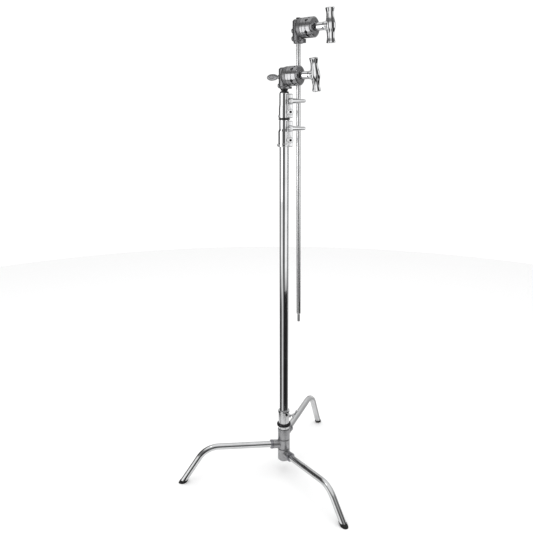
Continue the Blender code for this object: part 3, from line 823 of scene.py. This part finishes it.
def build_column():
    for name, outer, inner, low, high, body in SECTIONS:
        tube = ring(f"{name}_pipe", outer, inner, low, high, AXIS, 0.3 * MM, 128)
        show(tube, "chrome", body, f"{name}_tube")

    low, high = LOWER_COLLAR
    lower = lathe(
        "lower_collar_body",
        [
            (0, high),
            (17.6 * MM, high),
            (18.6 * MM, high - 1.2 * MM),
            (18.6 * MM, COLUMN_TOP + 11 * MM, 3 * MM),
            (22 * MM, COLUMN_TOP + 2 * MM, 3 * MM),
            (22 * MM, low + 12 * MM, 1 * MM),
            (23.2 * MM, low + 9.5 * MM, 1 * MM),
            (23.2 * MM, low + 1.2 * MM, 0.8 * MM),
            (22 * MM, low),
            (0, low),
        ],
        AXIS,
    )
    pad_frame = AXIS @ Matrix.Translation((0, 0, low + 6.2 * MM)) @ ALONG_MINUS_X
    lower = carve(lower, [disc("lower_pad", 5 * MM, 19 * MM, 27 * MM, pad_frame, 1 * MM, 64)])
    build_lock(
        "lower",
        lower,
        ("base", "lower_lock"),
        LOWER_COLLAR,
        (COLUMN_TOP + GAP, 17.8 * MM, 15.3 * MM),
        LOWER_LEVER_HEIGHT,
        LOWER_BOLT_HEIGHT,
    )

    low, high = UPPER_COLLAR
    upper = lathe(
        "upper_collar_body",
        [
            (0, high),
            (17.2 * MM, high),
            (18.2 * MM, high - 1.2 * MM),
            (18.4 * MM, RISER_2_TOP + 4 * MM, 3 * MM),
            (19.6 * MM, RISER_2_TOP - 10 * MM, 3 * MM),
            (19.6 * MM, low + 1.2 * MM),
            (18.6 * MM, low),
            (0, low),
        ],
        AXIS,
    )
    pad_frame = AXIS @ Matrix.Translation((0, 0, low + 7 * MM)) @ ALONG_MINUS_X
    upper = carve(upper, [disc("upper_pad", 5 * MM, 16 * MM, 22.4 * MM, pad_frame, 1 * MM, 64)])
    build_lock(
        "upper",
        upper,
        ("riser_2", "upper_lock"),
        UPPER_COLLAR,
        (RISER_2_TOP + GAP, 15.3 * MM, 12.8 * MM),
        UPPER_LEVER_HEIGHT,
        UPPER_BOLT_HEIGHT,
    )

    between = (LOWER_COLLAR[1] + GAP, UPPER_COLLAR[0] - GAP)
    spacer = ring("spacer", 21.2 * MM, 15.3 * MM, *between, AXIS, 1.2 * MM)
    show(spacer, "plastic", "riser_2", "collar_spacer")
    top = SPOOL_TOP
    spool = lathe(
        "spool_cap",
        [
            (13.2 * MM, top, 0.8 * MM),
            (13.2 * MM, top - 4.4 * MM, 0.8 * MM),
            (10.9 * MM, top - 5.4 * MM, 0.6 * MM),
            (10.9 * MM, top - 7.4 * MM, 0.6 * MM),
            (16.3 * MM, top - 9.2 * MM, 0.8 * MM),
            (16.3 * MM, top - 13.2 * MM, 0.8 * MM),
            (8.2 * MM, top - 13.2 * MM),
            (8.2 * MM, top),
        ],
        AXIS,
        True,
    )
    show(spool, "plastic", "riser_3", "riser_3_cap")
    pin = disc("pin", PIN_R, PIN_BOTTOM, PIN_TOP, AXIS, 1.2 * MM)
    show(pin, "chrome", "riser_3", "baby_pin")


# Grip heads and arm


def build_receiver(prefix, matrix, bottom, screws, body):
    receiver = lathe(
        f"{prefix}_body",
        [
            (0, RECEIVER_TOP),
            (15 * MM, RECEIVER_TOP, 3 * MM),
            (20.4 * MM, RECEIVER_TOP - 4.6 * MM, 4 * MM),
            (20.6 * MM, bottom + 9 * MM, 2 * MM),
            (17 * MM, bottom + 5 * MM, 1.5 * MM),
            (17 * MM, bottom + 1 * MM, 0.8 * MM),
            (16 * MM, bottom),
            (0, bottom),
        ],
        matrix,
    )
    drum = lathe(
        f"{prefix}_drum",
        [
            (0, JAW_START - GAP),
            (JAW_R - 0.5 * MM, JAW_START - GAP, 1.2 * MM),
            (JAW_R - 0.5 * MM, 12 * MM, 3 * MM),
            (JAW_R - 3 * MM, 3.2 * MM, 4 * MM),
            (0, 3.2 * MM),
        ],
        matrix @ ALONG_X,
        steps=128,
    )
    tab = soft_block(
        f"{prefix}_tab",
        (4 * MM, -9 * MM, bottom + 0.3 * MM),
        (27 * MM, 9 * MM, -JAW_R - 1 * MM),
        matrix,
        1.2 * MM,
    )
    joined = [drum, tab]
    removed = []
    for i, height in enumerate(screws):
        side = matrix @ Matrix.Translation((0, 0, height)) @ ALONG_MINUS_X
        joined.append(
            lathe(
                f"{prefix}_screw_boss_{i}",
                [
                    (0, 25 * MM),
                    (7.4 * MM, 25 * MM),
                    (8.3 * MM, 23.8 * MM),
                    (8.5 * MM, 10 * MM),
                    (0, 10 * MM),
                ],
                side,
                steps=64,
            )
        )
        removed.append(disc(f"{prefix}_screw_hole_{i}", 4.3 * MM, 4 * MM, 30 * MM, side, 0, 48))
    removed.append(disc(f"{prefix}_bore", RECEIVER_BORE_R, -60 * MM, 40 * MM, matrix, 0, 64))
    show(carve(receiver, joined, removed), "receiver", body, f"{prefix}_receiver")


def groove_cutters(prefix, matrix):
    cutters = []
    for i, (direction, offset, half) in enumerate(GROOVES):
        place = (JAW_MATE, offset, 0) if direction == "Z" else (JAW_MATE, 0, offset)
        tip = Matrix.Translation(place) @ Matrix.Rotation(math.pi / 4, 4, direction)
        flat = half / math.sqrt(2)
        size = [flat, flat, flat]
        size["XYZ".index(direction)] = 60 * MM
        start = [-reach for reach in size]
        cutters.append(soft_block(f"{prefix}_cut_{i}", start, size, matrix @ tip, 0.35 * MM))
    return cutters


def build_jaws(prefix, matrix, body):
    along = matrix @ ALONG_X
    bore = BOLT_R + GAP
    inner = lathe(
        f"{prefix}_inner",
        [
            (bore, JAW_MATE - GAP),
            (JAW_R, JAW_MATE - GAP, 0.7 * MM),
            (JAW_R, 34.7 * MM, 0.3 * MM),
            (JAW_R - 0.8 * MM, 34.3 * MM, 0.2 * MM),
            (JAW_R - 0.8 * MM, 33.6 * MM, 0.2 * MM),
            (JAW_R, 33.2 * MM, 0.3 * MM),
            (JAW_R, JAW_START, 1.4 * MM),
            (bore, JAW_START),
        ],
        along,
        True,
        128,
    )
    inner = carve(inner, removed=groove_cutters(prefix + "_a", matrix))
    show(inner, "jaw", body, f"{prefix}_inner_jaw")
    outer = lathe(
        f"{prefix}_outer",
        [
            (bore, JAW_END - 3 * MM),
            (16 * MM, JAW_END - 3 * MM),
            (17 * MM, JAW_END, 0.8 * MM),
            (JAW_R - 5.5 * MM, JAW_END, 3 * MM),
            (JAW_R, JAW_END - 3.4 * MM, 4 * MM),
            (JAW_R, JAW_MATE + GAP, 0.7 * MM),
            (bore, JAW_MATE + GAP),
        ],
        along,
        True,
        128,
    )
    outer = carve(outer, removed=groove_cutters(prefix + "_b", matrix))
    show(outer, "jaw", body, f"{prefix}_outer_jaw")
    seat = JAW_END - 3 * MM
    washer = ring(f"{prefix}_thrust", 15 * MM, bore, seat + GAP, seat + 2.7 * MM, along, 0.5 * MM)
    show(washer, "chrome", body, f"{prefix}_washer")
    race = (seat + 3 * MM, HANDLE_START - GAP)
    bearing = ring(f"{prefix}_race", 13.5 * MM, bore, *race, along, 0.8 * MM)
    show(bearing, "plastic", body, f"{prefix}_bearing")


def build_handle(prefix, matrix, turn, body, handle_body):
    ends = (13.3 * MM, 73 * MM)
    bolt = disc(f"{prefix}_through_bolt", BOLT_R, *ends, matrix @ ALONG_X, 0.5 * MM, 64)
    show(bolt, "chrome", body, f"{prefix}_bolt")
    turned = matrix @ Matrix.Rotation(turn, 4, "X")
    # Share of the half length, and the bar's radius there in millimetres.
    half_shape = (
        (-1.0, 14.8),
        (-0.995, 15.9),
        (-0.975, 16.8),
        (-0.93, 16.9),
        (-0.84, 15.8),
        (-0.66, 14.0),
        (-0.4, 15.2),
        (-0.18, 18.4),
        (0.0, 19.5),
    )
    shape = half_shape + tuple((-place, half) for place, half in half_shape[-2::-1])
    rings = []
    for place, half in eased(shape, 5):
        points = []
        for i in range(96):
            angle = 2 * math.pi * i / 96
            radius = half * MM * (1 - FLUTE_DEPTH * math.sin(2 * angle) ** 2)
            x = HANDLE_CENTRE + radius * math.cos(angle)
            points.append(Vector((x, radius * math.sin(angle), place * HANDLE_HALF)))
        rings.append(points)
    bar = loft(f"{prefix}_handle", rings, turned)
    barrel = lathe(
        f"{prefix}_barrel",
        [
            (0, HANDLE_CENTRE - 8 * MM),
            (14.6 * MM, HANDLE_CENTRE - 8 * MM),
            (15 * MM, 109 * MM, 3 * MM),
            (13.6 * MM, 103 * MM, 4 * MM),
            (13.6 * MM, 74.6 * MM, 0.8 * MM),
            (12.4 * MM, HANDLE_START),
            (0, HANDLE_START),
        ],
        turned @ ALONG_X,
    )
    show(carve(bar, [barrel]), "chrome", handle_body, f"{prefix}_t_handle")


def build_set_screw(name, matrix, height, body, node):
    side = matrix @ Matrix.Translation((0, 0, height)) @ ALONG_MINUS_X
    show(socket_screw(name, 4 * MM, 9 * MM, 27.3 * MM, side), "chrome", body, node)


def build_wing_screw(matrix, height):
    side = matrix @ Matrix.Translation((0, 0, height)) @ ALONG_MINUS_X
    shank = disc("pin_screw", 4 * MM, 8.8 * MM, 36 * MM, side, 0.3 * MM, 64)
    # Distance from the bore, and half the paddle's height there.
    outline = (
        (30, 3.4),
        (30.4, 5.2),
        (33, 7.5),
        (41, 10.4),
        (51, 11.6),
        (61, 11),
        (69, 8.6),
        (73.6, 5.4),
        (75, 2.4),
    )
    rings = []
    for place, half in eased(outline, 5):
        centre = Vector((-place * MM, 0, height))
        thick = 2.4 + 1.2 * min(1, half / 8)
        size = (thick * MM, half * MM)
        rings.append(oval(centre, Vector((0, 1, 0)), Vector((0, 0, 1)), *size, 48, 2.4))
    paddle = loft("pin_paddle", rings, matrix)
    dishes = []
    for i, way in enumerate((-1, 1)):
        centre = matrix @ Matrix.Translation((-53 * MM, way * 5.2 * MM, height))
        dish = lathe(
            f"pin_dish_{i}",
            [
                (0, 3.4 * MM),
                (4.4 * MM, 2.4 * MM, 1 * MM),
                (6.4 * MM, 0),
                (4.4 * MM, -2.4 * MM, 1 * MM),
                (0, -3.4 * MM),
            ],
            centre @ Matrix.Rotation(math.pi / 2, 4, "X") @ Matrix.Diagonal((2.1, 1.05, 1, 1)),
            steps=64,
        )
        dishes.append(dish)
    show(carve(paddle, [shank], dishes), "receiver", "pin_wing", "lower_head_wing_screw")


def build_heads_and_arm():
    lower = AXIS @ Matrix.Translation((0, 0, LOWER_HEAD_HEIGHT))
    lower = lower @ Matrix.Rotation(HEAD_TURN, 4, "Z")
    leaned = lower @ Matrix.Rotation(ARM_LEAN, 4, "X")
    upper = leaned @ Matrix.Translation((JAW_MATE, ARM_OFFSET, HEAD_SPACING))
    build_receiver("lower_head", lower, LOWER_RECEIVER_BOTTOM, LOWER_HEAD_SCREWS, "lower_head")
    build_jaws("lower_head", leaned, "lower_jaws")
    build_handle("lower_head", lower, LOWER_HANDLE_TURN, "lower_head", "lower_handle")
    wing_height, set_height = LOWER_HEAD_SCREWS
    build_wing_screw(lower, wing_height)
    build_set_screw("pin_set_screw", lower, set_height, "lower_head", "lower_head_set_screw")
    build_receiver("upper_head", upper, UPPER_RECEIVER_BOTTOM, UPPER_HEAD_SCREWS, "arm")
    build_jaws("upper_head", upper, "upper_jaws")
    build_handle("upper_head", upper, UPPER_HANDLE_TURN, "arm", "upper_handle")
    for i, height in enumerate(UPPER_HEAD_SCREWS, 1):
        build_set_screw(f"arm_set_screw_{i}", upper, height, "arm", f"upper_head_set_screw_{i}")

    arm = leaned @ Matrix.Translation((JAW_MATE, ARM_OFFSET, 0))
    rod = ring("rod", ARM_R, ARM_INNER_R, ARM_BOTTOM, ARM_TOP, arm, 0.4 * MM, 96)
    show(rod, "satin", "arm", "arm_rod")
    cap = lathe(
        "rod_cap",
        [
            (0, ARM_CAP_TOP),
            (ARM_R, ARM_CAP_TOP, 2 * MM),
            (ARM_R, ARM_TOP + GAP),
            (0, ARM_TOP + GAP),
        ],
        arm,
        steps=64,
    )
    show(cap, "plastic", "arm", "arm_top_cap")
    stud = lathe(
        "rod_stud",
        [
            (0, ARM_BOTTOM - GAP),
            (7.4 * MM, ARM_BOTTOM - GAP),
            (7.4 * MM, ARM_BOTTOM - 2.5 * MM, 0.8 * MM),
            (4.9 * MM, ARM_BOTTOM - 5 * MM, 1 * MM),
            (4.9 * MM, STUD_BOTTOM + 1 * MM, 0.6 * MM),
            (3.9 * MM, STUD_BOTTOM),
            (0, STUD_BOTTOM),
        ],
        arm,
        steps=64,
    )
    show(stud, "chrome", "arm", "arm_stud")


# Studio

FLOOR_R = 4.5
SHEET_R = 0.42
CARD_R = 1.05
CARD_TOP = 0.5
# Span of the card, in degrees to the right of the front.
CARD_START = -4
CARD_SPAN = 84
PANEL_GLOW = 2.3
PANEL_AZIMUTH = math.radians(-66)
PANEL_DISTANCE = 0.62
PANEL_HEIGHT = 1.45
PANEL_SIZE = (0.34, 0.68)
LENS = 39.519
CAMERA_BACK = 2226.6 * MM
CAMERA_HEIGHT = 1446.6 * MM
CAMERA_PAN = 0.031
CAMERA_PITCH = 0.2457
CAMERA_ROLL = -0.0061


def studio_surface(name, bm, material):
    mesh = bpy.data.meshes.new(name)
    bm.to_mesh(mesh)
    bm.free()
    mesh.materials.append(material)
    surface = bpy.data.objects.new(name, mesh)
    bpy.context.scene.collection.objects.link(surface)
    return surface


def show_in_metal_only(surface):
    surface.visible_camera = False
    surface.visible_diffuse = False
    surface.visible_shadow = False


def build_floor():
    """White floor. Polished metal sees the room's own pattern in its place."""
    paper, shader = shader_of("white_paper", (0.93, 0.93, 0.93), 0.0, 0.9)
    nodes = Nodes(paper)
    tone = nodes.blend(nodes.noise(400, 3), (0.92, 0.92, 0.92), (0.94, 0.94, 0.94))
    nodes.link(tone, shader.inputs["Base Color"])
    bm = bmesh.new()
    bmesh.ops.create_circle(bm, cap_ends=True, segments=128, radius=FLOOR_R)
    floor = studio_surface("floor", bm, paper)
    floor.location.z = -0.5 * MM
    floor.visible_glossy = False


def build_sheet():
    """Grey sheet under the base, seen in metal only: painted shade in the floor's reflection,
    darker than the white floor that the camera sees.
    """
    paper, _ = shader_of("painted_floor_reflection_shade", (0.6, 0.6, 0.6), 0.0, 0.9)
    bm = bmesh.new()
    bmesh.ops.create_circle(bm, cap_ends=True, segments=96, radius=SHEET_R)
    sheet = studio_surface("sheet", bm, paper)
    sheet.matrix_world = AXIS @ Matrix.Translation((0, 0, -0.3 * MM))
    show_in_metal_only(sheet)


# Brightness of the room by direction, in degrees to the right of the viewer's place:
# below eye level, at eye level and above it. Only reflections see it: painted reflections.
ROOM_LOW = (
    (-180, 0.10),
    (-160, 0.45),
    (-140, 0.30),
    (-122, 0.02),
    (-75, 0.04),
    (-60, 0.30),
    (-50, 0.75),
    (-34, 0.62),
    (-18, 0.28),
    (-4, 0.02),
    (72, 0.012),
    (100, 0.08),
    (125, 0.35),
    (160, 0.5),
    (180, 0.10),
)
ROOM_MIDDLE = (
    (-180, 0.12),
    (-168, 0.5),
    (-150, 0.04),
    (-112, 0.03),
    (-104, 0.10),
    (-86, 0.95),
    (-46, 0.95),
    (-30, 0.40),
    (-20, 0.08),
    (6, 0.04),
    (22, 0.75),
    (34, 1.1),
    (66, 1.1),
    (84, 0.35),
    (104, 0.18),
    (130, 0.5),
    (160, 0.7),
    (180, 0.12),
)
ROOM_HIGH = (
    (-180, 0.6),
    (-165, 0.5),
    (-148, 0.05),
    (-118, 0.05),
    (-70, 0.20),
    (-40, 0.17),
    (0, 0.10),
    (40, 0.22),
    (90, 0.16),
    (125, 0.5),
    (180, 0.6),
)


class RoomNodes:
    """Short ways to add and join the nodes of the studio's surroundings."""

    def __init__(self, tree):
        self.tree = tree

    def add(self, kind):
        return self.tree.nodes.new("ShaderNode" + kind)

    def link(self, output, socket):
        self.tree.links.new(output, socket)

    def maths(self, operation, *values):
        node = self.add("Math")
        node.operation = operation
        for socket, value in zip(node.inputs, values):
            if isinstance(value, (int, float)):
                socket.default_value = value
            else:
                self.link(value, socket)
        return node.outputs["Value"]

    def step(self, value, start, end):
        node = self.add("MapRange")
        node.interpolation_type = "SMOOTHSTEP"
        node.inputs["From Min"].default_value = start
        node.inputs["From Max"].default_value = end
        self.link(value, node.inputs["Value"])
        return node.outputs["Result"]

    def levels(self, share, stops):
        node = self.add("ValToRGB")
        ramp = node.color_ramp
        ramp.interpolation = "EASE"
        ramp.elements.remove(ramp.elements[1])
        for i, (degrees, level) in enumerate(stops):
            place = (degrees + 180) / 360
            element = ramp.elements[0] if i == 0 else ramp.elements.new(place)
            element.position = place
            element.color = (level, level, level, 1)
        self.link(share, node.inputs["Fac"])
        return node.outputs["Color"]

    def mix(self, share, first, second):
        node = self.add("Mix")
        node.data_type = "RGBA"
        for socket, value in (("A", first), ("B", second)):
            if isinstance(value, float):
                node.inputs[socket].default_value = (value, value, value, 1)
            else:
                self.link(value, node.inputs[socket])
        self.link(share, node.inputs["Factor"])
        return node.outputs["Result"]


def build_room():
    """Painted reflections: studio walls that only polished metal sees, soft boxes left and right,
    dark round them; camera and diffuse rays see plain white.
    """
    world = bpy.data.worlds.new("studio")
    bpy.context.scene.world = world
    world.use_nodes = True
    world.node_tree.nodes.clear()
    nodes = RoomNodes(world.node_tree)
    parts = nodes.add("SeparateXYZ")
    nodes.link(nodes.add("TexCoord").outputs["Generated"], parts.inputs["Vector"])
    x, y, z = (parts.outputs[axis] for axis in "XYZ")
    turn = nodes.maths("ARCTAN2", x, nodes.maths("MULTIPLY", y, -1.0))
    share = nodes.maths("MULTIPLY_ADD", turn, 0.5 / math.pi, 0.5)
    lean = nodes.maths("MULTIPLY", nodes.maths("ARCSINE", z), 180 / math.pi)
    low_part = nodes.levels(share, ROOM_LOW)
    middle = nodes.levels(share, ROOM_MIDDLE)
    high_part = nodes.levels(share, ROOM_HIGH)
    room = nodes.mix(nodes.step(lean, -52.0, -31.0), 0.72, low_part)
    room = nodes.mix(nodes.step(lean, -19.0, -11.0), room, middle)
    room = nodes.mix(nodes.step(lean, 10.0, 20.0), room, high_part)
    room = nodes.mix(nodes.step(lean, 36.0, 56.0), room, 0.78)
    path = nodes.add("LightPath").outputs
    plain = nodes.maths("MAXIMUM", path["Is Camera Ray"], path["Is Diffuse Ray"])
    seen = nodes.mix(plain, room, 1.05)
    background = nodes.add("Background")
    nodes.link(seen, background.inputs["Color"])
    nodes.link(background.outputs["Background"], nodes.add("OutputWorld").inputs["Surface"])


def area_light(name, place, target, size, power):
    data = bpy.data.lights.new(name, "AREA")
    data.shape = "RECTANGLE"
    data.size, data.size_y = size
    data.energy = power
    light = bpy.data.objects.new(name, data)
    bpy.context.scene.collection.objects.link(light)
    aim = (Vector(target) - Vector(place)).to_track_quat("-Z", "Y")
    light.matrix_world = Matrix.Translation(place) @ aim.to_matrix().to_4x4()
    return light


def build_lights():
    overhead = area_light("overhead", (0.1, 0.2, 3.4), (0.1, 0, 0), (3.2, 3.2), 26)
    overhead.visible_glossy = False
    key = area_light("key", (-2.2, -2.4, 2.4), (0.1, 0, 1.0), (1.6, 2.2), 14)
    key.visible_glossy = False


def build_panel():
    """Tall bright panel to the left of the heads, seen in metal only: it glows without lighting
    anything and paints a highlight into the metal's reflections.
    """
    made = bpy.data.materials.new("painted_highlight_glow")
    made.use_nodes = True
    nodes = made.node_tree.nodes
    nodes.clear()
    glow = nodes.new("ShaderNodeEmission")
    glow.inputs["Strength"].default_value = PANEL_GLOW
    output = nodes.new("ShaderNodeOutputMaterial")
    made.node_tree.links.new(glow.outputs["Emission"], output.inputs["Surface"])
    bm = bmesh.new()
    bmesh.ops.create_grid(bm, x_segments=1, y_segments=1, size=0.5)
    panel = studio_surface("panel", bm, made)
    place = level_way(PANEL_AZIMUTH) * PANEL_DISTANCE + Vector((0, 0, PANEL_HEIGHT))
    facing = Matrix.Rotation(PANEL_AZIMUTH, 4, "Z") @ Matrix.Rotation(math.pi / 2, 4, "X")
    size = Matrix.Diagonal((*PANEL_SIZE, 1, 1))
    panel.matrix_world = Matrix.Translation(AXIS @ place) @ facing @ size
    show_in_metal_only(panel)


def build_card():
    """Low black card in front and to the right, seen in metal only: a painted dark reflection that
    lights and shades nothing.
    """
    black, _ = shader_of("painted_dark_reflection", (0.01, 0.01, 0.01), 0.0, 1)
    bm = bmesh.new()
    rows = []
    for i in range(25):
        turn = math.radians(CARD_START + CARD_SPAN * i / 24)
        spot = AXIS @ (level_way(turn) * CARD_R)
        rows.append([bm.verts.new((spot.x, spot.y, level)) for level in (0, CARD_TOP)])
    for a, b in zip(rows, rows[1:]):
        bm.faces.new([a[0], b[0], b[1], a[1]])
    card = studio_surface("card", bm, black)
    show_in_metal_only(card)


def build_camera():
    data = bpy.data.cameras.new("camera")
    data.sensor_width = 36
    data.lens = LENS
    data.clip_end = 50
    camera = bpy.data.objects.new("camera", data)
    bpy.context.scene.collection.objects.link(camera)
    place = AXIS @ Vector((0, -CAMERA_BACK, CAMERA_HEIGHT))
    turn = Matrix.Rotation(CAMERA_PAN, 4, "Z")
    turn = turn @ Matrix.Rotation(math.pi / 2 - CAMERA_PITCH, 4, "X")
    turn = turn @ Matrix.Rotation(CAMERA_ROLL, 4, "Z")
    camera.matrix_world = Matrix.Translation(place) @ turn
    bpy.context.scene.camera = camera


bpy.context.scene.view_settings.view_transform = "Standard"
build_base()
build_column()
build_heads_and_arm()
build_floor()
build_room()
build_lights()
build_panel()
build_card()
build_sheet()
build_camera()
